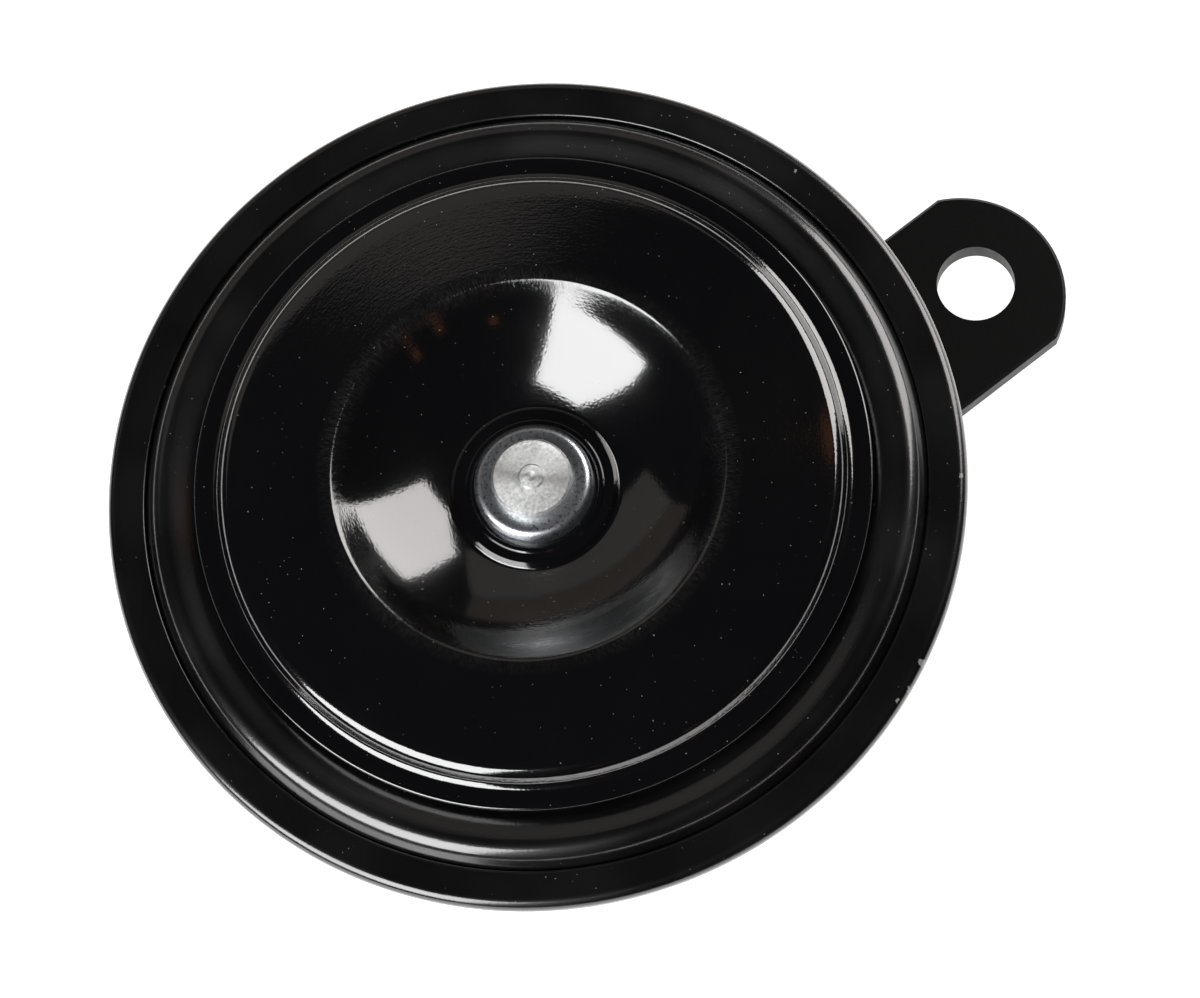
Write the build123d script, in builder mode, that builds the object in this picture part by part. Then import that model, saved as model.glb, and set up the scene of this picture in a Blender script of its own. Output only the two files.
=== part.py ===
from build123d import *
import math
import os

# An electric disc horn for a car. It faces +Z, and a flat strap holds it from behind along +X.
# The origin is the centre of the strap's bolt hole, on the face that seats on the car.
# All sizes are in millimetres.

# Strap
strap_thickness = 3.0
strap_width = 21.8
strap_edge_break = 0.35
bolt_hole_radius = 4.5
bolt_past_rim = 13.5
strap_end_reach = 9.8
strap_end_bulge = 6.7

# Pressed steel housing
housing_sheet = 0.7
housing_depth = 40.8
rim_radius = 45.0
lip_width = 4.1
lip_slope = 8.0
hem_room = 0.4
flange_width = 7.0
flange_bend = 1.5
shoulder_depth = 14.0
shoulder_bend = 4.0
pot_mouth_bend = 2.0
rear_bend = 3.5

# Diaphragm and its gasket, as distances in front of the rim's mid plane
diaphragm_sheet = 0.3
gasket_thickness = 0.3
lip_gap = 0.02
edge_clearance = 0.25
ridge_foot_inset = 0.2
ridge_foot_bend = 0.5
ridge_inset = 1.55
ridge_height = 2.75
ridge_bend = 1.8
diaphragm_slope_width = 6.35
diaphragm_plain_level = 0.95
diaphragm_cone_radius = 14.0
diaphragm_centre_level = -2.6
diaphragm_bend = 4.0

# Tone disc, as distances in front of the rim's mid plane
disc_sheet = 1.0
disc_edge_gap = 4.05
disc_edge_width = 2.05
disc_edge_level = 3.4
disc_step_width = 1.9
disc_step_height = 1.55
disc_inside_bend = 0.15
crest_radius = 20.6
crest_level = 7.0
crest_bend = 2.6
bowl_foot_radius = 8.8
bowl_foot_level = -1.0
bowl_curve = 24.0
seat_step = 0.5
seat_level = -0.4

# Armature, with the stud that carries the tone disc
stud_radius = 3.0
stud_clearance = 0.05
collar_radius = 6.24
collar_height = 2.0
collar_round = 0.9
stud_head_radius = 4.2
stud_head_height = 1.5
stud_head_bevel = 0.25
crater_radius = 1.2
crater_height = 0.2
centre_mark_radius = 0.55
clamp_washer_radius = 10.0
clamp_washer_thickness = 1.0
spacer_radius = 7.0
plunger_radius = 7.5
plunger_length = 16.0
striker_width = 5.0
striker_thickness = 1.2
striker_drop = 2.9
air_gap = 1.2
armature_stroke = 0.4

# Magnet
yoke_thickness = 2.0
yoke_rim_clearance = 0.5
yoke_gap = 0.5
bobbin_clearance = 0.2
bobbin_wall = 1.2
winding_inset = 0.6

# Mounting stud, its spring washer and nut
mount_stud_radius = 4.0
mount_stud_clearance = 0.25
mount_stud_free = 2.2
stud_end_bevel = 0.8
lock_washer_thickness = 2.0
lock_washer_radius = 7.2
lock_washer_split = 1.0
nut_height = 6.5
nut_flats = 13.0

# Contact breaker, laid along a chord beside the armature
breaker_angle = 45.0
breaker_clearance = 1.5
strip_width = 6.0
clamp_length = 14.0
clamp_screw_inset = 3.0
clamp_screw_radius = 1.5
clamp_head_radius = 2.6
clamp_head_height = 1.6
clamp_slot_width = 0.7
insulator_overhang = 1.0
base_insulator = 1.0
top_insulator = 0.8
arm_sheet = 0.3
arm_lug_width = 5.0
arm_lug_margin = 0.2
pad_radius = 1.4
pad_inset = 0.1
pad_gap = 0.05
tip_radius = 1.9
tip_height = 0.6
tip_place = 6.0
tip_margin = 1.1
fixed_strip_sheet = 0.8
fixed_strip_margin = 1.0
tag_length = 3.0
tag_width = 3.2
tag_hole_radius = 0.8
tag_clearance = 1.2

# Adjusting screw and its bush in the shoulder
adjuster_radius = 2.5
adjuster_running_clearance = 0.05
adjuster_tip_gap = 0.1
adjuster_head_radius = 3.6
adjuster_head_height = 2.2
adjuster_head_stand = 1.5
adjuster_slot_width = 1.0
adjuster_slot_depth = 1.1
bush_wall = 1.7
bush_neck_wall = 0.9
bush_height = 4.0
bush_room = 0.3

# Plate rivets
plate_rivet_count = 4
plate_rivet_radius = 1.5
rivet_head_radius = 2.7
rivet_head_height = 1.2

# Terminal block and its two blades
block_angle = 180.0
block_half_span = 25.0
block_clearance = 0.6
block_wall = 1.5
block_height = 6.5
block_round = 1.0
terminal_half_angle = 13.5
terminal_rivet_radius = 1.5
post_radius = 2.7
post_clearance = 0.15
post_rise = 0.5
blade_width = 6.3
blade_sheet = 0.8
blade_foot_length = 7.0
blade_length = 10.5
blade_hole_radius = 0.85
blade_hole_place = 3.2
blade_tip_bevel = 0.9

# Levels of the housing and its rolled rim
rear_wall_z = strap_thickness
rim_z = rear_wall_z + housing_depth
rim_thickness = 2 * housing_sheet + gasket_thickness + diaphragm_sheet + hem_room
flange_back_z = rim_z - rim_thickness / 2
flange_front_z = flange_back_z + housing_sheet
clamped_z = flange_front_z + gasket_thickness + diaphragm_sheet
lip_edge_radius = rim_radius - lip_width
lip_rise = math.tan(math.radians(lip_slope))
lip_top_z = clamped_z + lip_gap + housing_sheet / math.cos(math.radians(lip_slope))
rim_corner_z = lip_top_z + lip_width * lip_rise
hem_bend = 0.98 * (rim_corner_z - flange_back_z) / (1 + math.tan(math.radians(45 + lip_slope / 2)))
bolt_to_horn = rim_radius + bolt_past_rim

# Housing, inwards from its flange: the flat of the shoulder is as wide as the adjusting bush needs
chamber_radius = rim_radius - flange_width
shoulder_z = rim_z - shoulder_depth
shoulder_outer_radius = chamber_radius - shoulder_bend
bush_radius = adjuster_radius + bush_wall
bush_neck_radius = adjuster_radius + bush_neck_wall
shoulder_circle = shoulder_outer_radius - bush_radius - bush_room
shoulder_inner_radius = shoulder_circle - bush_radius - bush_room
pot_radius = shoulder_inner_radius - pot_mouth_bend

# Diaphragm and tone disc, inwards from the lip
clamped_radius = rim_radius - hem_bend - edge_clearance
gasket_inner_radius = chamber_radius + flange_bend + edge_clearance
ridge_radius = lip_edge_radius - ridge_inset
diaphragm_slope_end = ridge_radius - diaphragm_slope_width
diaphragm_front_z = rim_z + diaphragm_centre_level
disc_radius = ridge_radius - disc_edge_gap
disc_step_radius = disc_radius - disc_edge_width
disc_step_bend = disc_sheet + disc_inside_bend
seat_z = rim_z + seat_level
collar_top_z = seat_z + collar_height

# Armature and magnet, back from the diaphragm
armature_top_z = diaphragm_front_z - diaphragm_sheet - clamp_washer_thickness
striker_radius = plunger_radius + striker_width
striker_back_z = armature_top_z - striker_drop - striker_thickness
plunger_end_z = armature_top_z - plunger_length
core_radius = plunger_radius
core_front_z = plunger_end_z - air_gap
core_back_z = rear_wall_z + housing_sheet
yoke_radius = shoulder_outer_radius - yoke_rim_clearance
yoke_back_z = shoulder_z + housing_sheet
yoke_front_z = yoke_back_z + yoke_thickness
stud_hole_radius = stud_radius + stud_clearance
mount_hole_radius = mount_stud_radius + mount_stud_clearance
mount_stud_end_z = -lock_washer_thickness - nut_height - mount_stud_free

# Breaker: its strips lie on a chord just outside the striker, as long as the chamber lets them be
breaker_offset = striker_radius + breaker_clearance + strip_width / 2
arm_back_z = yoke_front_z + base_insulator
arm_front_z = arm_back_z + arm_sheet
fixed_strip_back_z = arm_front_z + 2 * tip_height
fixed_strip_front_z = fixed_strip_back_z + fixed_strip_sheet
clamp_seat_z = fixed_strip_front_z + top_insulator
tag_corner = breaker_offset + strip_width / 4 + tag_width / 2
tag_end_radius = chamber_radius - housing_sheet - tag_clearance
clamp_end = math.sqrt(tag_end_radius**2 - tag_corner**2) - tag_length
clamp_middle = -clamp_end + clamp_length / 2
clamp_screw_pitch = clamp_length - 2 * clamp_screw_inset
pad_offset = striker_radius - pad_radius - pad_inset
arm_lug_reach = pad_offset - pad_radius - arm_lug_margin
arm_free_end = tip_place + tip_radius + tip_margin
adjuster_place = math.sqrt(shoulder_circle**2 - breaker_offset**2)
adjuster_head_back_z = shoulder_z - bush_height - adjuster_head_stand - adjuster_head_height
fixed_strip_end = adjuster_place + adjuster_radius + fixed_strip_margin

# Terminal block, under the shoulder
block_back_z = shoulder_z - block_height
block_inner_radius = shoulder_inner_radius + block_clearance
foot_outer = shoulder_circle + blade_foot_length / 2
block_outer_radius = foot_outer + block_wall

# The half plane that every turned or pressed section is drawn on: across is the radius, up is +Z
horn_centre = (-bolt_to_horn, 0, 0)
section_plane = Plane(origin=horn_centre, x_dir=(1, 0, 0), z_dir=(0, -1, 0))
horn_axis = Axis(horn_centre, (0, 0, 1))


def horn_plane(height, turn=0.0):
    """A level plane on the horn's axis, turned about it."""
    along = (math.cos(math.radians(turn)), math.sin(math.radians(turn)), 0)
    return Plane(origin=(-bolt_to_horn, 0, height), x_dir=along, z_dir=(0, 0, 1))


def breaker_plane(height):
    """The breaker's level plane: across is its distance from the horn's axis, up runs along its strips."""
    return horn_plane(height, breaker_angle)


def clamp_places():
    """The breaker's two clamp screws, on one of its level planes."""
    return Locations(
        (breaker_offset, clamp_middle - clamp_screw_pitch / 2),
        (breaker_offset, clamp_middle + clamp_screw_pitch / 2),
    )


def terminal_places(turn=0.0):
    """The two terminals, either side of the block's middle, which lies at that turn."""
    span = 2 * terminal_half_angle
    return PolarLocations(shoulder_circle, 2, turn - terminal_half_angle, span, endpoint=True)


def plate_rivet_places():
    """The plate rivets, evenly round the shoulder from the middle of the breaker."""
    return PolarLocations(shoulder_circle, plate_rivet_count, breaker_angle)


def export(part, name):
    """Name a finished piece and write it."""
    part.label = name
    export_step(part, f"parts/{name}.step")


os.makedirs("parts", exist_ok=True)

# Strap: flat steel with a bolt hole at one end, and a full round about the horn's stud at the other
strap_corner = strap_end_reach - strap_end_bulge
with BuildPart() as mounting_strap:
    with BuildSketch(Plane.XY):
        with BuildLine():
            Line((-bolt_to_horn, -strap_width / 2), (strap_corner, -strap_width / 2))
            ThreePointArc(
                (strap_corner, -strap_width / 2),
                (strap_end_reach, 0),
                (strap_corner, strap_width / 2),
            )
            Line((strap_corner, strap_width / 2), (-bolt_to_horn, strap_width / 2))
            ThreePointArc(
                (-bolt_to_horn, strap_width / 2),
                (-bolt_to_horn - strap_width / 2, 0),
                (-bolt_to_horn, -strap_width / 2),
            )
        make_face()
    extrude(amount=strap_thickness)
    chamfer(mounting_strap.faces().sort_by(Axis.Z)[0].outer_wire().edges(), strap_edge_break)
    chamfer(mounting_strap.faces().sort_by(Axis.Z)[-1].outer_wire().edges(), strap_edge_break)
    with Locations((0, 0, strap_thickness)):
        Hole(bolt_hole_radius)
    with Locations((-bolt_to_horn, 0, strap_thickness)):
        Hole(mount_hole_radius)
export(mounting_strap.part, "mounting_strap")

# Housing: one deep pressing, with its flange rolled over the diaphragm's edge as a lip
with BuildPart() as housing:
    with BuildSketch(section_plane):
        with BuildLine():
            FilletPolyline(
                (lip_edge_radius, lip_top_z),
                (rim_radius, rim_corner_z),
                (rim_radius, flange_back_z),
                (chamber_radius, flange_back_z),
                (chamber_radius, shoulder_z),
                (pot_radius, shoulder_z),
                (pot_radius, rear_wall_z),
                (mount_hole_radius, rear_wall_z),
                radius=[hem_bend, hem_bend, flange_bend, shoulder_bend, pot_mouth_bend, rear_bend],
            )
            offset(amount=housing_sheet, side=Side.RIGHT)
        make_face()
    revolve(axis=horn_axis)
    with BuildSketch(horn_plane(shoulder_z)):
        with plate_rivet_places():
            Circle(plate_rivet_radius)
        with terminal_places(block_angle):
            Circle(post_radius + post_clearance)
    extrude(amount=housing_sheet, mode=Mode.SUBTRACT)
    with BuildSketch(breaker_plane(shoulder_z)):
        with Locations((breaker_offset, adjuster_place)):
            Circle(bush_neck_radius)
    extrude(amount=housing_sheet, mode=Mode.SUBTRACT)
export(housing.part, "housing")

# Gasket: a paper ring between the flange and the diaphragm
with BuildPart() as rim_gasket:
    with BuildSketch(horn_plane(flange_front_z)):
        Circle(clamped_radius)
        Circle(gasket_inner_radius, mode=Mode.SUBTRACT)
    extrude(amount=gasket_thickness)
export(rim_gasket.part, "rim_gasket")

# Diaphragm: thin sheet with a ridge inside the lip, then a shallow cone down to the armature
with BuildPart() as diaphragm:
    with BuildSketch(section_plane):
        with BuildLine():
            FilletPolyline(
                (clamped_radius, clamped_z),
                (lip_edge_radius - ridge_foot_inset, clamped_z),
                (ridge_radius, rim_z + ridge_height),
                (diaphragm_slope_end, rim_z + diaphragm_plain_level),
                (diaphragm_cone_radius, diaphragm_front_z),
                (stud_hole_radius, diaphragm_front_z),
                radius=[ridge_foot_bend, ridge_bend, diaphragm_bend, diaphragm_bend],
            )
            offset(amount=diaphragm_sheet, side=Side.LEFT)
        make_face()
    revolve(axis=horn_axis)
export(diaphragm.part, "diaphragm")

# Tone disc: a heavy pressing with a stepped edge, a blunt cone, a round crest and a deep bowl
with BuildPart() as tone_disc:
    with BuildSketch(section_plane):
        with BuildLine() as disc_skin:
            disc_cone = FilletPolyline(
                (disc_radius, rim_z + disc_edge_level),
                (disc_step_radius, rim_z + disc_edge_level),
                (disc_step_radius - disc_step_width, rim_z + disc_edge_level + disc_step_height),
                (crest_radius, rim_z + crest_level),
                radius=[disc_step_bend, disc_step_bend],
            )
            RadiusArc(disc_cone @ 1, (bowl_foot_radius, rim_z + bowl_foot_level), bowl_curve)
            Polyline(
                (bowl_foot_radius, rim_z + bowl_foot_level),
                (bowl_foot_radius - seat_step, seat_z),
                (stud_hole_radius, seat_z),
            )
            fillet(disc_skin.vertices().sort_by_distance(disc_cone @ 1)[0], crest_bend)
            offset(amount=disc_sheet, side=Side.LEFT)
        make_face()
    revolve(axis=horn_axis)
export(tone_disc.part, "tone_disc")

# Armature: plunger, striker flange and stud turned from one bar, its end riveted over the collar
with BuildPart() as armature:
    with BuildSketch(section_plane):
        with BuildLine():
            Polyline(
                (0, plunger_end_z),
                (plunger_radius, plunger_end_z),
                (plunger_radius, striker_back_z),
                (striker_radius, striker_back_z),
                (striker_radius, striker_back_z + striker_thickness),
                (plunger_radius, striker_back_z + striker_thickness),
                (plunger_radius, armature_top_z),
                (stud_radius, armature_top_z),
                (stud_radius, collar_top_z),
                (stud_head_radius, collar_top_z),
                (stud_head_radius, collar_top_z + stud_head_height - stud_head_bevel),
                (stud_head_radius - stud_head_bevel, collar_top_z + stud_head_height),
                (crater_radius + crater_height, collar_top_z + stud_head_height),
                (crater_radius, collar_top_z + stud_head_height + crater_height),
                (centre_mark_radius, collar_top_z + stud_head_height + crater_height),
                (0, collar_top_z + stud_head_height - crater_height),
                close=True,
            )
        make_face()
    revolve(axis=horn_axis)
export(armature.part, "armature")

# Clamp washer and spacer: plain steel rings that grip the diaphragm from both sides
with BuildPart() as clamp_washer:
    with BuildSketch(horn_plane(armature_top_z)):
        Circle(clamp_washer_radius)
        Circle(stud_hole_radius, mode=Mode.SUBTRACT)
    extrude(amount=clamp_washer_thickness)
export(clamp_washer.part, "clamp_washer")

with BuildPart() as spacer_ring:
    with BuildSketch(horn_plane(diaphragm_front_z)):
        Circle(spacer_radius)
        Circle(stud_hole_radius, mode=Mode.SUBTRACT)
    extrude(amount=seat_z - disc_sheet - diaphragm_front_z)
export(spacer_ring.part, "spacer_ring")

# Collar: a thick zinc-plated washer with a round shoulder, under the riveted stud head
with BuildPart() as collar:
    with BuildSketch(section_plane):
        with BuildLine():
            FilletPolyline(
                (stud_hole_radius, seat_z),
                (collar_radius, seat_z),
                (collar_radius, collar_top_z),
                (stud_hole_radius, collar_top_z),
                radius=[collar_round / 4, collar_round],
            )
            Line((stud_hole_radius, collar_top_z), (stud_hole_radius, seat_z))
        make_face()
    revolve(axis=horn_axis)
export(collar.part, "collar")

# Pole core: turned steel, seated on the rear wall, with the mounting stud out of its back
with BuildPart() as pole_core:
    with BuildSketch(section_plane):
        with BuildLine():
            Polyline(
                (0, core_front_z),
                (core_radius, core_front_z),
                (core_radius, core_back_z),
                (mount_stud_radius, core_back_z),
                (mount_stud_radius, mount_stud_end_z + stud_end_bevel),
                (mount_stud_radius - stud_end_bevel, mount_stud_end_z),
                (0, mount_stud_end_z),
                close=True,
            )
        make_face()
    revolve(axis=horn_axis)
export(pole_core.part, "pole_core")

# Bobbin: moulded spool, its rear flange smaller so that it clears the housing's rear bend
bobbin_bore = core_radius + bobbin_clearance
bobbin_front_z = yoke_back_z - bobbin_clearance
bobbin_back_z = core_back_z + bobbin_clearance
bobbin_front_radius = pot_radius - housing_sheet - bobbin_wall / 2
bobbin_back_radius = pot_radius - rear_bend - bobbin_clearance
with BuildPart() as bobbin:
    with BuildSketch(section_plane):
        with BuildLine():
            Polyline(
                (bobbin_bore, bobbin_back_z),
                (bobbin_back_radius, bobbin_back_z),
                (bobbin_back_radius, bobbin_back_z + bobbin_wall),
                (bobbin_bore + bobbin_wall, bobbin_back_z + bobbin_wall),
                (bobbin_bore + bobbin_wall, bobbin_front_z - bobbin_wall),
                (bobbin_front_radius, bobbin_front_z - bobbin_wall),
                (bobbin_front_radius, bobbin_front_z),
                (bobbin_bore, bobbin_front_z),
                close=True,
            )
        make_face()
    revolve(axis=horn_axis)
export(bobbin.part, "bobbin")

# Winding: enamelled copper wire, wound full
with BuildPart() as winding:
    with BuildSketch(horn_plane(bobbin_back_z + bobbin_wall)):
        Circle(bobbin_back_radius - winding_inset)
        Circle(bobbin_bore + bobbin_wall, mode=Mode.SUBTRACT)
    extrude(amount=bobbin_front_z - bobbin_back_z - 2 * bobbin_wall)
export(winding.part, "winding")

# Yoke plate: closes the magnet's circuit over the coil, and carries the contact breaker
with BuildPart() as yoke_plate:
    with BuildSketch(horn_plane(yoke_back_z)):
        Circle(yoke_radius)
        Circle(plunger_radius + yoke_gap, mode=Mode.SUBTRACT)
        with plate_rivet_places():
            Circle(plate_rivet_radius, mode=Mode.SUBTRACT)
        with terminal_places(block_angle):
            Circle(post_radius + post_clearance, mode=Mode.SUBTRACT)
    extrude(amount=yoke_thickness)
    with BuildSketch(breaker_plane(yoke_back_z)):
        with Locations((breaker_offset, adjuster_place)):
            Circle(adjuster_radius + yoke_gap)
        with clamp_places():
            Circle(clamp_screw_radius)
    extrude(amount=yoke_thickness, mode=Mode.SUBTRACT)
export(yoke_plate.part, "yoke_plate")

# Plate rivets: four rivets hold the yoke plate on the housing's shoulder
with BuildPart() as plate_rivets:
    with BuildSketch(horn_plane(shoulder_z - rivet_head_height)):
        with plate_rivet_places():
            Circle(rivet_head_radius)
    extrude(amount=rivet_head_height)
    chamfer(
        plate_rivets.faces().sort_by(Axis.Z)[:plate_rivet_count].edges(),
        rivet_head_height / 2,
    )
    with BuildSketch(horn_plane(shoulder_z)):
        with plate_rivet_places():
            Circle(plate_rivet_radius)
    extrude(amount=yoke_front_z - shoulder_z)
    with BuildSketch(horn_plane(yoke_front_z)):
        with plate_rivet_places():
            Circle(rivet_head_radius)
    extrude(amount=rivet_head_height / 2)
export(plate_rivets.part, "plate_rivets")

# Lock washer: split and sprung, between the strap and the nut
with BuildPart() as lock_washer:
    with BuildSketch(horn_plane(-lock_washer_thickness)):
        Circle(lock_washer_radius)
        Circle(mount_hole_radius, mode=Mode.SUBTRACT)
        with Locations((-lock_washer_radius, 0)):
            Rectangle(lock_washer_radius, lock_washer_split, mode=Mode.SUBTRACT)
    extrude(amount=lock_washer_thickness)
export(lock_washer.part, "lock_washer")

# Nut: a hexagon with both faces turned down at the corners
nut_corner_radius = nut_flats / math.sqrt(3)
nut_back_z = -lock_washer_thickness - nut_height
nut_turning = nut_corner_radius - nut_flats / 2
with BuildPart() as mounting_nut:
    with BuildSketch(horn_plane(nut_back_z)):
        RegularPolygon(nut_corner_radius, 6)
    extrude(amount=nut_height)
    with BuildSketch(section_plane):
        with BuildLine():
            Polyline(
                (mount_stud_radius, nut_back_z),
                (nut_flats / 2, nut_back_z),
                (nut_corner_radius, nut_back_z + nut_turning / 2),
                (nut_corner_radius, nut_back_z + nut_height - nut_turning / 2),
                (nut_flats / 2, nut_back_z + nut_height),
                (mount_stud_radius, nut_back_z + nut_height),
                close=True,
            )
        make_face()
    revolve(axis=horn_axis, mode=Mode.INTERSECT)
export(mounting_nut.part, "mounting_nut")

# Insulators: three fibre sheets that keep the breaker's strips off the plate and off each other
insulator_levels = {
    "base_insulator": (yoke_front_z, arm_back_z),
    "middle_insulator": (arm_front_z, fixed_strip_back_z),
    "top_insulator": (fixed_strip_front_z, clamp_seat_z),
}
for insulator_name, (insulator_back_z, insulator_front_z) in insulator_levels.items():
    with BuildPart() as insulator:
        with BuildSketch(breaker_plane(insulator_back_z)):
            with Locations((breaker_offset, clamp_middle)):
                RectangleRounded(
                    strip_width + 2 * insulator_overhang,
                    clamp_length,
                    insulator_overhang,
                )
            with clamp_places():
                Circle(clamp_screw_radius, mode=Mode.SUBTRACT)
        extrude(amount=insulator_front_z - insulator_back_z)
    export(insulator.part, insulator_name)

# Contact arm: thin bronze leaf spring, with a lug that reaches in under the armature's striker
with BuildPart() as contact_arm:
    with BuildSketch(breaker_plane(arm_back_z)):
        with Locations((breaker_offset, (arm_free_end - clamp_end) / 2)):
            RectangleRounded(strip_width, arm_free_end + clamp_end, strip_width / 6)
        with Locations(((arm_lug_reach + breaker_offset) / 2, 0)):
            Rectangle(breaker_offset - arm_lug_reach, arm_lug_width)
        with Locations((breaker_offset - strip_width / 4, -clamp_end - tag_length / 2)):
            Rectangle(tag_width, tag_length + strip_width / 3)
        with Locations((breaker_offset - strip_width / 4, -clamp_end - tag_length / 2)):
            Circle(tag_hole_radius, mode=Mode.SUBTRACT)
        with clamp_places():
            Circle(clamp_screw_radius, mode=Mode.SUBTRACT)
    extrude(amount=arm_sheet)
export(contact_arm.part, "contact_arm")

# Moving contact: a tungsten tip on the arm
with BuildPart() as moving_contact:
    with BuildSketch(breaker_plane(arm_front_z)):
        with Locations((breaker_offset, tip_place)):
            Circle(tip_radius)
    extrude(amount=tip_height)
export(moving_contact.part, "moving_contact")

# Push pad: an insulating button on the arm's lug, just under the striker at the end of its stroke
with BuildPart() as push_pad:
    with BuildSketch(breaker_plane(arm_front_z)):
        with Locations((pad_offset, 0)):
            Circle(pad_radius)
    extrude(amount=striker_back_z - armature_stroke - pad_gap - arm_front_z)
    fillet(push_pad.edges().sort_by(Axis.Z)[-1], pad_radius / 4)
export(push_pad.part, "push_pad")

# Fixed strip: stiff steel over the arm, from the clamp to the adjusting screw
with BuildPart() as fixed_strip:
    with BuildSketch(breaker_plane(fixed_strip_back_z)):
        with Locations((breaker_offset, (fixed_strip_end - clamp_end) / 2)):
            RectangleRounded(strip_width, fixed_strip_end + clamp_end, strip_width / 6)
        with Locations((breaker_offset + strip_width / 4, -clamp_end - tag_length / 2)):
            Rectangle(tag_width, tag_length + strip_width / 3)
        with Locations((breaker_offset + strip_width / 4, -clamp_end - tag_length / 2)):
            Circle(tag_hole_radius, mode=Mode.SUBTRACT)
        with clamp_places():
            Circle(clamp_screw_radius, mode=Mode.SUBTRACT)
    extrude(amount=fixed_strip_sheet)
export(fixed_strip.part, "fixed_strip")

# Fixed contact: a tungsten tip under the fixed strip, shut on the moving one at rest
with BuildPart() as fixed_contact:
    with BuildSketch(breaker_plane(fixed_strip_back_z - tip_height)):
        with Locations((breaker_offset, tip_place)):
            Circle(tip_radius)
    extrude(amount=tip_height)
export(fixed_contact.part, "fixed_contact")

# Clamp screws: two slotted screws, threaded into the yoke plate, that hold the breaker's stack
with BuildPart() as clamp_screws:
    with BuildSketch(breaker_plane(yoke_back_z)):
        with clamp_places():
            Circle(clamp_screw_radius)
    extrude(amount=clamp_seat_z - yoke_back_z)
    with BuildSketch(breaker_plane(clamp_seat_z)):
        with clamp_places():
            Circle(clamp_head_radius)
    extrude(amount=clamp_head_height)
    fillet(
        clamp_screws.faces().sort_by(Axis.Z)[-2:].edges(),
        clamp_head_height / 3,
    )
    with BuildSketch(breaker_plane(clamp_seat_z + clamp_head_height / 2)):
        with clamp_places():
            Rectangle(2 * clamp_head_radius, clamp_slot_width)
    extrude(amount=clamp_head_height, mode=Mode.SUBTRACT)
export(clamp_screws.part, "clamp_screws")

# Adjusting bush: a threaded bush clinched into the shoulder from behind
with BuildPart() as adjusting_bush:
    with BuildSketch(breaker_plane(shoulder_z - bush_height)):
        with Locations((breaker_offset, adjuster_place)):
            Circle(bush_radius)
    extrude(amount=bush_height)
    with BuildSketch(breaker_plane(shoulder_z)):
        with Locations((breaker_offset, adjuster_place)):
            Circle(bush_neck_radius)
    extrude(amount=housing_sheet)
    with BuildSketch(breaker_plane(shoulder_z - bush_height)):
        with Locations((breaker_offset, adjuster_place)):
            Circle(adjuster_radius + adjuster_running_clearance)
    extrude(amount=bush_height + housing_sheet, mode=Mode.SUBTRACT)
export(adjusting_bush.part, "adjusting_bush")

# Adjusting screw: turned from behind, it bears on the fixed strip and sets where the contacts open
with BuildPart() as adjusting_screw:
    with BuildSketch(breaker_plane(adjuster_head_back_z)):
        with Locations((breaker_offset, adjuster_place)):
            Circle(adjuster_head_radius)
    extrude(amount=adjuster_head_height)
    chamfer(adjusting_screw.faces().sort_by(Axis.Z)[0].edges(), adjuster_head_height / 6)
    with BuildSketch(breaker_plane(adjuster_head_back_z)):
        with Locations((breaker_offset, adjuster_place)):
            Rectangle(2 * adjuster_head_radius, adjuster_slot_width)
    extrude(amount=adjuster_slot_depth, mode=Mode.SUBTRACT)
    with BuildSketch(breaker_plane(adjuster_head_back_z + adjuster_head_height)):
        with Locations((breaker_offset, adjuster_place)):
            Circle(adjuster_radius)
    extrude(amount=fixed_strip_back_z - adjuster_tip_gap - adjuster_head_back_z - adjuster_head_height)
export(adjusting_screw.part, "adjusting_screw")

# Terminal block: a moulded sector under the shoulder, with two posts up through the yoke plate
with BuildPart() as terminal_block:
    with BuildSketch(horn_plane(block_back_z, block_angle)):
        Circle(block_outer_radius)
        Circle(block_inner_radius, mode=Mode.SUBTRACT)
        with BuildSketch(mode=Mode.INTERSECT):
            with BuildLine():
                sector_reach = 2 * block_outer_radius
                Polyline(
                    (0, 0),
                    (sector_reach, -sector_reach * math.tan(math.radians(block_half_span))),
                    (sector_reach, sector_reach * math.tan(math.radians(block_half_span))),
                    close=True,
                )
            make_face()
    extrude(amount=block_height)
    fillet(terminal_block.edges().filter_by(Axis.Z), block_round)
    with BuildSketch(horn_plane(shoulder_z, block_angle)):
        with terminal_places():
            Circle(post_radius)
    extrude(amount=yoke_front_z + post_rise - shoulder_z)
    with BuildSketch(horn_plane(block_back_z, block_angle)):
        with terminal_places():
            Circle(terminal_rivet_radius)
    extrude(amount=yoke_front_z + post_rise - block_back_z, mode=Mode.SUBTRACT)
export(terminal_block.part, "terminal_block")

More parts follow.
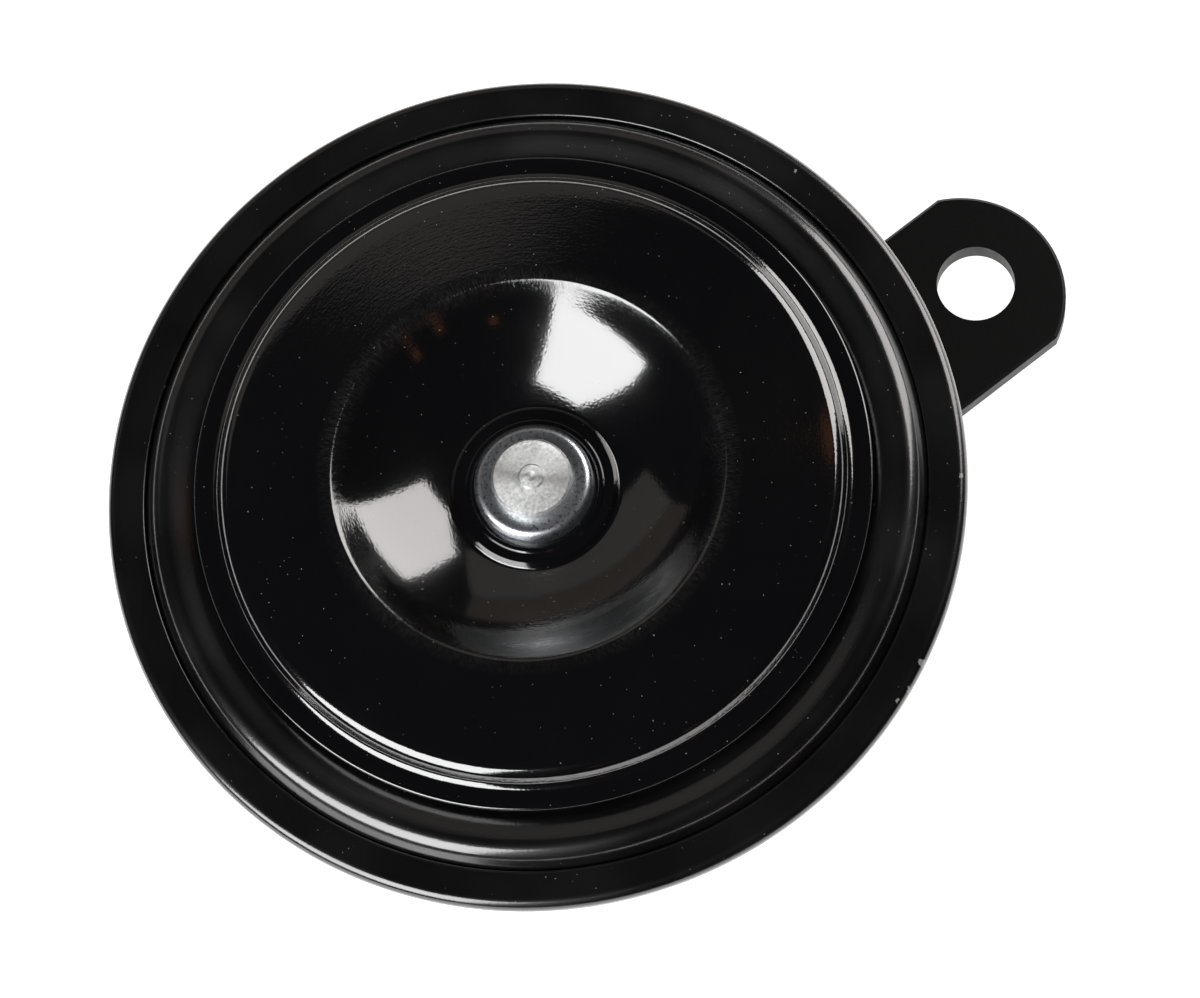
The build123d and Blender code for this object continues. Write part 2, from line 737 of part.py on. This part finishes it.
# Blade terminals: each a tinned brass strip, its foot riveted to the block and its blade bent back
terminal_sides = {"supply_terminal": -1, "return_terminal": 1}
for terminal_name, terminal_side in terminal_sides.items():
    terminal_turn = block_angle + terminal_side * terminal_half_angle
    with BuildPart() as terminal:
        with BuildSketch(horn_plane(block_back_z - blade_sheet, terminal_turn)):
            with Locations((shoulder_circle, 0)):
                Rectangle(blade_foot_length, blade_width)
                Circle(terminal_rivet_radius, mode=Mode.SUBTRACT)
        extrude(amount=blade_sheet)
        foot_plane = horn_plane(block_back_z - blade_sheet, terminal_turn)
        blade_plane = Plane(
            origin=foot_plane.from_local_coords((foot_outer, 0, 0)),
            x_dir=foot_plane.y_dir,
            z_dir=foot_plane.x_dir,
        )
        with BuildSketch(blade_plane):
            with Locations((0, -blade_length / 2)):
                Rectangle(blade_width, blade_length)
            with Locations((0, -blade_length + blade_hole_place)):
                Circle(blade_hole_radius, mode=Mode.SUBTRACT)
        extrude(amount=-blade_sheet)
        blade_tip = terminal.faces().sort_by(Axis.Z)[0]
        chamfer(blade_tip.edges().sort_by(SortBy.LENGTH)[:2], blade_tip_bevel)
    export(terminal.part, terminal_name)

# Terminal rivets: brass, through the feet, the block and its posts
with BuildPart() as terminal_rivets:
    with BuildSketch(horn_plane(block_back_z - blade_sheet - rivet_head_height, block_angle)):
        with terminal_places():
            Circle(rivet_head_radius)
    extrude(amount=rivet_head_height)
    with BuildSketch(horn_plane(block_back_z - blade_sheet, block_angle)):
        with terminal_places():
            Circle(terminal_rivet_radius)
    extrude(amount=yoke_front_z + post_rise + blade_sheet - block_back_z)
    with BuildSketch(horn_plane(yoke_front_z + post_rise, block_angle)):
        with terminal_places():
            Circle(rivet_head_radius)
    extrude(amount=rivet_head_height)
export(terminal_rivets.part, "terminal_rivets")
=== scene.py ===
import math

import bmesh
import bpy
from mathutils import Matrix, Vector


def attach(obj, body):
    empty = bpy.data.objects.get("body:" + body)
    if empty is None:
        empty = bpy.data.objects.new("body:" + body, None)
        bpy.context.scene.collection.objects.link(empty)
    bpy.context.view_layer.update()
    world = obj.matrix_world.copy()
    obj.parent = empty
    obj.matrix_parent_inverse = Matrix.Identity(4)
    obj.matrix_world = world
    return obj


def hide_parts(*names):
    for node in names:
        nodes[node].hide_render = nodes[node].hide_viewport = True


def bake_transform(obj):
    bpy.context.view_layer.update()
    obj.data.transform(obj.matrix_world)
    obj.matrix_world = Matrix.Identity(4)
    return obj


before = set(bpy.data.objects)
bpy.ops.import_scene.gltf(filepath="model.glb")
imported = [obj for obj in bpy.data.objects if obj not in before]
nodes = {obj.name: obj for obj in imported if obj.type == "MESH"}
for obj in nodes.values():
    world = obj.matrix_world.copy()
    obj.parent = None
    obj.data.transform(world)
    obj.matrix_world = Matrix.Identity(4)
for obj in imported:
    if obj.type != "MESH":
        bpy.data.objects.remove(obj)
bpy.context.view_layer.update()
scene = bpy.context.scene
scene.view_settings.view_transform = "Standard"

# Camera: a long lens a little below the horn's axis and to its left, as the photograph was taken.
# The rings of the front, seen at a slant, give its place and its aim.
lens = bpy.data.cameras.new("camera")
lens.lens = 120
lens.sensor_width = 36
camera = bpy.data.objects.new("camera", lens)
camera.location = (-0.09703, -0.12371, 0.43970)
camera.rotation_euler = [math.radians(angle) for angle in (16.805, 5.392, -37.26)]
scene.collection.objects.link(camera)
scene.camera = camera


# Room: dark above, so that the enamel stays black, and white paper below, which metal mirrors.
# The camera sees it white all round. Nodes are joined by the functions that start here.
def add(tree, kind, inputs=None, **settings):
    """A node of that kind with its settings made, and its inputs set or joined."""
    node = tree.nodes.new(kind)
    for key, value in settings.items():
        setattr(node, key, value)
    for key, value in (inputs or {}).items():
        if isinstance(value, bpy.types.NodeSocket):
            tree.links.new(value, node.inputs[key])
        else:
            node.inputs[key].default_value = value
    return node


def work_out(tree, operation, *values, clamp=False):
    """The result of a Math node."""
    node = add(tree, "ShaderNodeMath", dict(enumerate(values)), operation=operation, use_clamp=clamp)
    return node.outputs[0]


def ramp(tree, value, start, end, low, high):
    """The value carried from the range start to end over to the range low to high, and kept in it."""
    node = add(tree, "ShaderNodeMapRange", {0: value, 1: start, 2: end, 3: low, 4: high})
    return node.outputs[0]


room = bpy.data.worlds.new("room")
scene.world = room
room.use_nodes = True
tree = room.node_tree
tree.nodes.clear()
direction = add(tree, "ShaderNodeTexCoord").outputs["Generated"]
height = add(tree, "ShaderNodeSeparateXYZ", {0: direction}).outputs["Z"]
paper_edge, paper_full = 0.02, -0.06
paper = ramp(tree, height, paper_edge, paper_full, 0.0, 1.0)
ray = add(tree, "ShaderNodeLightPath").outputs
mirrored = work_out(tree, "MAXIMUM", ray["Is Glossy Ray"], ray["Is Transmission Ray"])
seen = work_out(tree, "MAXIMUM", ray["Is Camera Ray"], work_out(tree, "MULTIPLY", mirrored, paper))
plain = add(tree, "ShaderNodeBackground", {"Color": (1, 1, 1, 1), "Strength": 0.15})
dark = add(tree, "ShaderNodeBackground", {"Color": (0.95, 1, 1.05, 1), "Strength": 0.012})
white = add(tree, "ShaderNodeBackground", {"Color": (1, 1, 1, 1), "Strength": 1.0})
lit = add(tree, "ShaderNodeMixShader", {0: mirrored, 1: plain.outputs[0], 2: dark.outputs[0]})
mixed = add(tree, "ShaderNodeMixShader", {0: seen, 1: lit.outputs[0], 2: white.outputs[0]})
add(tree, "ShaderNodeOutputWorld", {"Surface": mixed.outputs[0]})


# Floor: a wide sheet of white paper just under the horn's lowest point, centred on the horn's axis.
# From below it is clear, so that the back can be seen.
axis_x = -0.0585
floor_height = -0.0108
floor_mesh = bpy.data.meshes.new("floor")
bm = bmesh.new()
bmesh.ops.create_grid(bm, x_segments=1, y_segments=1, size=3.0)
bmesh.ops.translate(bm, verts=bm.verts, vec=(axis_x, 0, floor_height))
bm.to_mesh(floor_mesh)
bm.free()
floor = bpy.data.objects.new("floor", floor_mesh)
scene.collection.objects.link(floor)
paper_white = bpy.data.materials.new("paper_white")
paper_white.use_nodes = True
tree = paper_white.node_tree
tree.nodes.clear()
ray = add(tree, "ShaderNodeLightPath").outputs
mirrored = work_out(tree, "MAXIMUM", ray["Is Glossy Ray"], ray["Is Transmission Ray"])
shown = work_out(tree, "MAXIMUM", ray["Is Camera Ray"], mirrored)
strength = work_out(tree, "MULTIPLY", shown, 0.8)
glow = add(tree, "ShaderNodeEmission", {"Color": (1, 1, 1, 1), "Strength": strength})
matt = add(tree, "ShaderNodeBsdfDiffuse", {"Color": (0.85, 0.85, 0.85, 1)})
both = add(tree, "ShaderNodeAddShader", {0: matt.outputs[0], 1: glow.outputs[0]})
clear = add(tree, "ShaderNodeBsdfTransparent")
behind = add(tree, "ShaderNodeNewGeometry").outputs["Backfacing"]
either = add(tree, "ShaderNodeMixShader", {0: behind, 1: both.outputs[0], 2: clear.outputs[0]})
add(tree, "ShaderNodeOutputMaterial", {"Surface": either.outputs[0]})
floor_mesh.materials.append(paper_white)


# Lamps: two softboxes, whose outlines show in the bowl, and dim warm things about the room.
# Each is a flat panel square to the horn, its outline given for a distance of 1.
def panel(name, bearing, elevation, outline, radiance, colour, distance=0.9):
    """A flat lamp in that direction from the horn, unseen by the camera."""
    a, e = math.radians(bearing), math.radians(elevation)
    away = Vector((math.cos(e) * math.cos(a), math.cos(e) * math.sin(a), math.sin(e)))
    level = Vector((-math.sin(a), math.cos(a), 0))
    upright = away.cross(level)
    centre = Vector((axis_x, 0, 0.045))
    bm = bmesh.new()
    corners = [centre + distance * (away + x * level + y * upright) for x, y in outline]
    bm.faces.new([bm.verts.new(corner) for corner in corners])
    mesh = bpy.data.meshes.new(name)
    bm.to_mesh(mesh)
    bm.free()
    shade = bpy.data.materials.new(name)
    shade.use_nodes = True
    shade.node_tree.nodes.clear()
    light = add(shade.node_tree, "ShaderNodeEmission", {"Color": (*colour, 1), "Strength": radiance})
    add(shade.node_tree, "ShaderNodeOutputMaterial", {"Surface": light.outputs[0]})
    mesh.materials.append(shade)
    lamp = bpy.data.objects.new(name, mesh)
    lamp.visible_camera = False
    scene.collection.objects.link(lamp)


left_box = [(-0.16, 0.47), (-0.30, 0.22), (-0.40, -0.01), (-0.44, -0.26), (0.39, -0.34), (0.23, 0.47)]
right_box = [(-0.31, 0.46), (0.0, 0.48), (0.25, 0.24), (0.22, -0.33), (-0.33, -0.33)]
wall = [(-0.6, -0.25), (0.9, -0.25), (0.9, 0.26), (-0.6, 0.26)]
glint = [(-0.03, -0.04), (0.03, -0.03), (0.04, 0.03), (-0.02, 0.04)]
panel("softbox_left", -165.7, 38.76, left_box, 7.5, (1, 1, 1))
panel("softbox_right", 8.31, 26.87, right_box, 4.6, (1, 0.965, 0.95))
panel("wall_above", 72, 38, wall, 0.2, (1, 0.93, 0.87), distance=1.4)
panel("wall_below", 72, 10, wall, 0.13, (1, 0.85, 0.72), distance=1.3)
for bearing, elevation in ((-93, 23.5), (-117, 30), (-78, 26), (167, 5), (9, 63)):
    panel("glint", bearing, elevation, glint, 0.25, (1, 0.4, 0.15))


# Tone disc: a heavy steel pressing with a sheared edge, a stepped bead and a deep bowl, under gloss
# black stoving enamel. The riveted stud holds it. Handling has scuffed its crest, dust lies on it,
# and fine polishing marks fray what it mirrors.
def section(corners):
    """A wire through (radius, height, cut) corners in mm, each rounded over the length cut off it."""
    bm = bmesh.new()
    points = [bm.verts.new((axis_x + r / 1000, 0, z / 1000)) for r, z, cut in corners]
    for a, b in zip(points, points[1:]):
        bm.edges.new((a, b))
    rounded = dict(offset_type="OFFSET", segments=8, profile=0.5, affect="VERTICES", material=-1)
    for point, (r, z, cut) in zip(points, corners):
        if cut:
            bmesh.ops.bevel(bm, geom=[point], offset=cut / 1000, **rounded)
    straight = [edge for edge in bm.edges if edge.calc_length() > 0.0008]
    bmesh.ops.subdivide_edges(bm, edges=straight, cuts=6)
    return bm


def turned(bm, name, body, slot_name, *replaced, sheet=0.0, edge=0.1, facing=1):
    """The wire spun about the horn's axis, given its sheet's thickness, and its cut edges broken."""
    whole = dict(cent=(axis_x, 0, 0), axis=(0, 0, 1), angle=math.tau, steps=300, use_merge=True)
    bmesh.ops.spin(bm, geom=bm.verts[:] + bm.edges[:], **whole)
    bmesh.ops.remove_doubles(bm, verts=bm.verts, dist=2e-6)
    bmesh.ops.recalc_face_normals(bm, faces=bm.faces)
    if sheet:
        if facing * sum(face.normal.z for face in bm.faces) < 0:
            bmesh.ops.reverse_faces(bm, faces=bm.faces)
        bmesh.ops.solidify(bm, geom=bm.faces[:], thickness=sheet / 1000)
    sharp = [e for e in bm.edges if len(e.link_faces) == 2 and e.calc_face_angle(0) > 0.9]
    if edge and sharp:
        broken = dict(segments=3, profile=0.5, affect="EDGES", material=-1)
        bmesh.ops.bevel(bm, geom=sharp, offset=edge / 1000, **broken)
    return placed(bm, name, body, slot_name, *replaced)


def placed(bm, name, body, slot_name, *replaced):
    """The mesh as a piece that rides on its body and stands for its CAD nodes."""
    mesh = bpy.data.meshes.new(name)
    bm.to_mesh(mesh)
    bm.free()
    mesh.shade_smooth()
    mesh.set_sharp_from_angle(angle=math.radians(35))
    piece = bpy.data.objects.new(name, mesh)
    scene.collection.objects.link(piece)
    if body:
        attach(piece, body)
    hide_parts(*replaced)
    return piece


bm = section([(35.3, 47.2, 0), (32.9, 47.2, 0.6), (32.0, 48.8, 0.7), (20.5, 50.37, 0.35), (18.3, 48.3, 0)])
rim_of_bowl = min(bm.verts, key=lambda v: v.co.x)
bowl_centre = (axis_x + 0.00184, 0, 0.06577)
hollow = dict(cent=bowl_centre, axis=(0, 1, 0), angle=math.radians(26.4), steps=24, use_merge=False)
bmesh.ops.spin(bm, geom=[rim_of_bowl], **hollow)
foot = min(bm.verts, key=lambda v: v.co.x)
seat = [(8.3, 43.4), (7.3, 43.4), (7.15, 43.52), (6.75, 43.52), (6.6, 43.4), (3.05, 43.4)]
for r, z in seat:
    inner = bm.verts.new((axis_x + r / 1000, 0, z / 1000))
    bm.edges.new((foot, inner))
    foot = inner
tone_disc = turned(bm, "tone_disc_enamelled", "sounder", "black_enamel", "tone_disc", sheet=1.0, edge=0.2)


def vector(tree, operation, *values):
    """The result of a Vector Math node: a number for a length or a distance, or else a vector."""
    node = add(tree, "ShaderNodeVectorMath", dict(enumerate(values)), operation=operation)
    return node.outputs["Value" if operation in ("LENGTH", "DISTANCE") else "Vector"]


def noise(tree, where, scale, detail=2.0):
    """Smooth noise with that many features to a metre."""
    node = add(tree, "ShaderNodeTexNoise", {"Vector": where, "Scale": scale, "Detail": detail})
    return node.outputs["Fac"]


def mixed_colour(tree, share, first, second):
    """A colour between two, by that share of the second."""
    mix = add(tree, "ShaderNodeMix", {0: share, 6: (*first, 1), 7: (*second, 1)}, data_type="RGBA")
    return mix.outputs[2]


def enamel_finish(name, gloss, polish, index, scuffed_at=None, chips=()):
    """Black stoving enamel: a polished coat over black, with dust, fine hair marks and a scuffed ring.

    Chips are (across, along, size) in mm from the horn's axis.
    """
    finish = bpy.data.materials.new(name)
    finish.use_nodes = True
    tree = finish.node_tree
    shader = tree.nodes["Principled BSDF"]
    place = add(tree, "ShaderNodeTexCoord").outputs["Object"]
    place = vector(tree, "ADD", place, (-axis_x, 0, 0))
    flat = vector(tree, "MULTIPLY", place, (1, 1, 0))
    radius = vector(tree, "LENGTH", flat)
    unit = vector(tree, "NORMALIZE", flat)

    def around(turns, outwards):
        """Noise with that many features to a radian, and to a metre of the radius."""
        spread = vector(tree, "MULTIPLY", unit, (turns, turns, turns))
        out = add(tree, "ShaderNodeCombineXYZ", {2: work_out(tree, "MULTIPLY", radius, outwards)})
        return noise(tree, vector(tree, "ADD", spread, out.outputs[0]), 1.0)

    cloudy = noise(tree, place, 90.0)
    specks = add(tree, "ShaderNodeTexVoronoi", {"Vector": place, "Scale": 1500.0})
    rare = add(tree, "ShaderNodeSeparateXYZ", {0: specks.outputs["Color"]}).outputs[0]
    rare = work_out(tree, "MULTIPLY", rare, work_out(tree, "ADD", cloudy, 0.45))
    dust = work_out(tree, "LESS_THAN", specks.outputs["Distance"], ramp(tree, rare, 0.4, 1.0, 0.0, 0.1))
    worn = work_out(tree, "MULTIPLY", dust, 0.4)
    if scuffed_at:
        off = work_out(tree, "ABSOLUTE", work_out(tree, "SUBTRACT", radius, scuffed_at))
        band = ramp(tree, off, 0.0002, 0.0016, 1.0, 0.0)
        hairs = ramp(tree, around(650, 1500), 0.5, 0.8, 0.0, 0.14)
        scuffs = work_out(tree, "MULTIPLY", work_out(tree, "MULTIPLY", band, hairs), cloudy)
        worn = work_out(tree, "MAXIMUM", worn, scuffs)
    ragged = ramp(tree, noise(tree, place, 2200.0), 0.0, 1.0, -0.0004, 0.0004)
    for across, along, size in chips:
        away = vector(tree, "DISTANCE", flat, (across / 1000, along / 1000, 0))
        chip = work_out(tree, "LESS_THAN", work_out(tree, "ADD", away, ragged), size / 1000)
        worn = work_out(tree, "MAXIMUM", worn, work_out(tree, "MULTIPLY", chip, 0.4))
    black, pale = (0.0025, 0.0025, 0.003), (0.55, 0.55, 0.53)
    tree.links.new(mixed_colour(tree, worn, black, pale), shader.inputs["Base Color"])
    matter = ramp(tree, cloudy, 0.3, 0.7, gloss, gloss * 1.7)
    rough = work_out(tree, "ADD", matter, work_out(tree, "MULTIPLY", worn, 0.6), clamp=True)
    tree.links.new(rough, shader.inputs["Roughness"])
    marks = around(14, 5200)
    peel = noise(tree, place, 3200.0)
    relief = work_out(tree, "ADD", work_out(tree, "MULTIPLY", marks, 0.8), peel)
    relief = work_out(tree, "ADD", relief, work_out(tree, "MULTIPLY", worn, 8.0))
    bump = add(tree, "ShaderNodeBump", {"Height": relief, "Distance": 0.0000055, "Strength": 1.0})
    tree.links.new(bump.outputs[0], shader.inputs["Normal"])
    tree.links.new(bump.outputs[0], shader.inputs["Coat Normal"])
    shader.inputs["IOR"].default_value = index
    shader.inputs["Coat Weight"].default_value = 1.0
    shader.inputs["Coat IOR"].default_value = 1.7
    shader.inputs["Coat Roughness"].default_value = polish
    return finish


tone_disc.data.materials.append(enamel_finish("enamel_disc", 0.09, 0.03, 1.6, scuffed_at=0.0206))


# Collar: a thick steel washer with a round shoulder, turned and zinc plated, which lies on the disc
# under the riveted head of the armature's stud. The plate is mottled.
def plain_finish(name, dark, light, rough, grain, relief, metallic=0.0, rings=0.0, layers=0.0):
    """A finish that is mottled between two colours, with its own grain, turned rings or wound layers."""
    finish = bpy.data.materials.new(name)
    finish.use_nodes = True
    tree = finish.node_tree
    shader = tree.nodes["Principled BSDF"]
    place = add(tree, "ShaderNodeTexCoord").outputs["Object"]
    mottle = noise(tree, place, grain, 5.0)
    shown = ramp(tree, mottle, 0.3, 0.7, 0.0, 1.0)
    tree.links.new(mixed_colour(tree, shown, dark, light), shader.inputs["Base Color"])
    tree.links.new(ramp(tree, mottle, 0.3, 0.7, rough[1], rough[0]), shader.inputs["Roughness"])
    shader.inputs["Metallic"].default_value = metallic
    height = noise(tree, place, grain * 3, 4.0)
    if rings:
        flat = vector(tree, "MULTIPLY", vector(tree, "ADD", place, (-axis_x, 0, 0)), (1, 1, 0))
        out = work_out(tree, "MULTIPLY", vector(tree, "LENGTH", flat), 9000.0)
        turning = add(tree, "ShaderNodeTexNoise", {"W": out}, noise_dimensions="1D").outputs["Fac"]
        height = work_out(tree, "ADD", height, work_out(tree, "MULTIPLY", turning, rings))
    if layers:
        up = add(tree, "ShaderNodeSeparateXYZ", {0: place}).outputs["Z"]
        wave = work_out(tree, "SINE", work_out(tree, "MULTIPLY", up, math.pi / layers))
        height = work_out(tree, "ABSOLUTE", wave)
    bump = add(tree, "ShaderNodeBump", {"Height": height, "Distance": relief, "Strength": 1.0})
    tree.links.new(bump.outputs[0], shader.inputs["Normal"])
    return finish


bm = section([(3.05, 43.4, 0), (6.24, 43.4, 0), (6.24, 45.4, 0.9), (3.05, 45.4, 0)])
ends = sorted(bm.verts, key=lambda v: (v.co.x, v.co.z))[:2]
bm.edges.new(ends)
collar = turned(bm, "collar_plated", "sounder", "zinc_plate", "collar", edge=0.06)
mirror_zinc = plain_finish(
    "collar_zinc", (0.42, 0.46, 0.52), (0.86, 0.88, 0.90), (0.22, 0.4), 2600, 0.000015, 1.0
)
collar.data.materials.append(mirror_zinc)


# Armature: turned from soft iron and zinc plated. Its stud comes up through the diaphragm, the disc
# and the collar, and its end is riveted over. Turning has left faint rings on the head.
def dress(finish, *names):
    """That finish on pieces whose CAD shape stays."""
    for name in names:
        nodes[name].data.materials.clear()
        nodes[name].data.materials.append(finish)


zinc = plain_finish(
    "zinc_plated", (0.46, 0.48, 0.50), (0.82, 0.82, 0.79), (0.36, 0.52), 2600, 0.00004, 1.0, rings=0.8
)
dress(zinc, "armature")

# Diaphragm: thin spring steel, enamelled like the disc. Its edge is clamped under the housing's lip,
# a soft ridge runs round inside the lip, and the armature pulls its middle.
pressed_sheet = [
    (43.56, 43.9, 0),
    (40.85, 43.9, 0),
    (40.8, 44.4, 0.1),
    (39.35, 46.55, 1.3),
    (33.0, 44.75, 0.4),
    (14.0, 41.2, 0.35),
    (3.05, 41.2, 0),
]
bm = section(pressed_sheet)
diaphragm = turned(bm, "diaphragm_enamelled", None, "black_enamel", "diaphragm", sheet=0.3, edge=0)
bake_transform(diaphragm)
diaphragm.data.materials.append(enamel_finish("enamel_sheet", 0.24, 0.13, 1.45))

# Housing: one deep steel pressing with its flange rolled over the diaphragm's edge as a lip.
# It is enamelled all over, a little flatter than the disc, and its rim has a few small chips.
pressed_cup = [
    (40.9, 44.63, 0),
    (44.98, 45.2, 1.2),
    (44.98, 42.6, 1.1),
    (38.0, 42.6, 1.5),
    (38.0, 29.8, 4.0),
    (23.0, 29.8, 2.0),
    (23.0, 3.0, 3.5),
    (4.25, 3.0, 0),
]
bm = section(pressed_cup)
housing = turned(
    bm, "housing_enamelled", "horn_body", "black_enamel", "housing", sheet=0.7, edge=0.3, facing=-1
)
rim_chips = [
    (19.4, -40.3, 0.4),
    (16.6, -41.7, 0.32),
    (14.9, -41.8, 0.2),
    (34.9, -27.3, 0.25),
    (-24.4, 22.1, 0.2),
    (42.4, 10.0, 0.15),
]
housing.data.materials.append(enamel_finish("enamel_housing", 0.24, 0.15, 1.4, chips=rim_chips))

# Strap: flat steel that hangs the horn on the car, with a bolt hole at each end and a shorn edge.
# It is cut to shape and painted satin black, and the nut clamps it to the back of the housing.
strap_paint = plain_finish(
    "satin_paint", (0.003, 0.003, 0.003), (0.008, 0.008, 0.008), (0.36, 0.46), 900, 0.00001
)
strap_paint.node_tree.nodes["Principled BSDF"].inputs["IOR"].default_value = 1.36
dress(strap_paint, "mounting_strap")

# Fixings: the nut and its split washer on the mounting stud, and the rivets, screws and bush that
# hold the magnet and the breaker. All are steel, and zinc plated like the armature.
dress(zinc, "mounting_nut", "lock_washer", "plate_rivets", "clamp_screws")
dress(zinc, "adjusting_bush", "adjusting_screw")

# Magnet: a turned core and a pressed plate of soft iron, oiled and left bare. The core ends in the
# mounting stud, and the rivets hold the plate over the coil.
iron = plain_finish(
    "soft_iron", (0.30, 0.29, 0.28), (0.48, 0.47, 0.45), (0.3, 0.5), 700, 0.00003, 1.0, rings=0.6
)
dress(iron, "pole_core", "yoke_plate")

# Coil: enamelled copper wire, wound in layers on a moulded spool that slips over the core.
# Each layer shows as a row of round ridges, one wire high.
wire_height = 0.0006
copper, pale_copper = (0.52, 0.19, 0.07), (0.74, 0.32, 0.14)
wire = plain_finish(
    "enamelled_copper", copper, pale_copper, (0.2, 0.35), 600, 0.0002, 1.0, layers=wire_height
)
spool = plain_finish("moulded_nylon", (0.60, 0.56, 0.44), (0.72, 0.68, 0.57), (0.4, 0.55), 500, 0.00002)
dress(wire, "winding")
dress(spool, "bobbin")

# Washers: the clamp washer and the spacer ring grip the diaphragm from both sides, and the breaker's
# fixed strip is cut from the same plain spring steel, which is rolled and left bare.
steel = plain_finish(
    "spring_steel", (0.42, 0.43, 0.46), (0.60, 0.61, 0.63), (0.25, 0.4), 1200, 0.00002, 1.0
)
dress(steel, "clamp_washer", "spacer_ring", "fixed_strip")

# Gasket: a ring of oiled paper, stamped out and laid between the flange and the diaphragm,
# where the rolled lip presses it tight.
gasket = plain_finish("gasket_paper", (0.36, 0.31, 0.22), (0.50, 0.45, 0.34), (0.8, 0.95), 1800, 0.00004)
dress(gasket, "rim_gasket")

# Breaker: fibre sheets hold its strips apart. The bronze arm is clamped at one end, and its free end
# bends, so it is cut across every millimetre. Its contacts are tungsten tips, pressed in.
fibre = plain_finish("red_fibre", (0.34, 0.11, 0.06), (0.48, 0.20, 0.12), (0.6, 0.8), 1400, 0.00003)
dress(fibre, "base_insulator", "middle_insulator", "top_insulator")
breaker_bearing = math.radians(45)
breaker_from_axis = 0.017
arm_length = 0.01299
arm_height = 0.03365
station = 0.001
outwards = Vector((math.cos(breaker_bearing), math.sin(breaker_bearing), 0))
along = Vector((-outwards.y, outwards.x, 0))
pivot = Vector((axis_x, 0, arm_height)) + breaker_from_axis * outwards - arm_length * along
bm = bmesh.new()
bm.from_mesh(nodes["contact_arm"].data)
bmesh.ops.remove_doubles(bm, verts=bm.verts, dist=1e-6)
for k in range(-2, 12):
    whole = bm.verts[:] + bm.edges[:] + bm.faces[:]
    cut = pivot + along * station * k
    bmesh.ops.bisect_plane(bm, geom=whole, plane_co=cut, plane_no=along, dist=1e-7)
contact_arm = placed(bm, "contact_arm_leaf", None, "bronze_spring", "contact_arm")
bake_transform(contact_arm)
bronze = plain_finish(
    "bronze_leaf", (0.56, 0.37, 0.20), (0.76, 0.54, 0.33), (0.22, 0.38), 900, 0.00001, 1.0
)
contact_arm.data.materials.clear()
contact_arm.data.materials.append(bronze)
tungsten = plain_finish(
    "tungsten_tip", (0.30, 0.30, 0.32), (0.42, 0.42, 0.44), (0.3, 0.5), 3000, 0.00002, 1.0
)
dress(tungsten, "moving_contact", "fixed_contact")

# Terminal block: a black moulding under the shoulder, with two tinned brass blades on their rivets.
# The push pad on the contact arm is of the same moulding.
moulding = plain_finish(
    "black_moulding", (0.020, 0.020, 0.021), (0.040, 0.040, 0.042), (0.42, 0.6), 1600, 0.00003
)
tinned = plain_finish(
    "tinned_brass", (0.60, 0.56, 0.44), (0.80, 0.77, 0.66), (0.2, 0.38), 1100, 0.00002, 1.0
)
dress(moulding, "terminal_block", "push_pad")
dress(tinned, "supply_terminal", "return_terminal", "terminal_rivets")
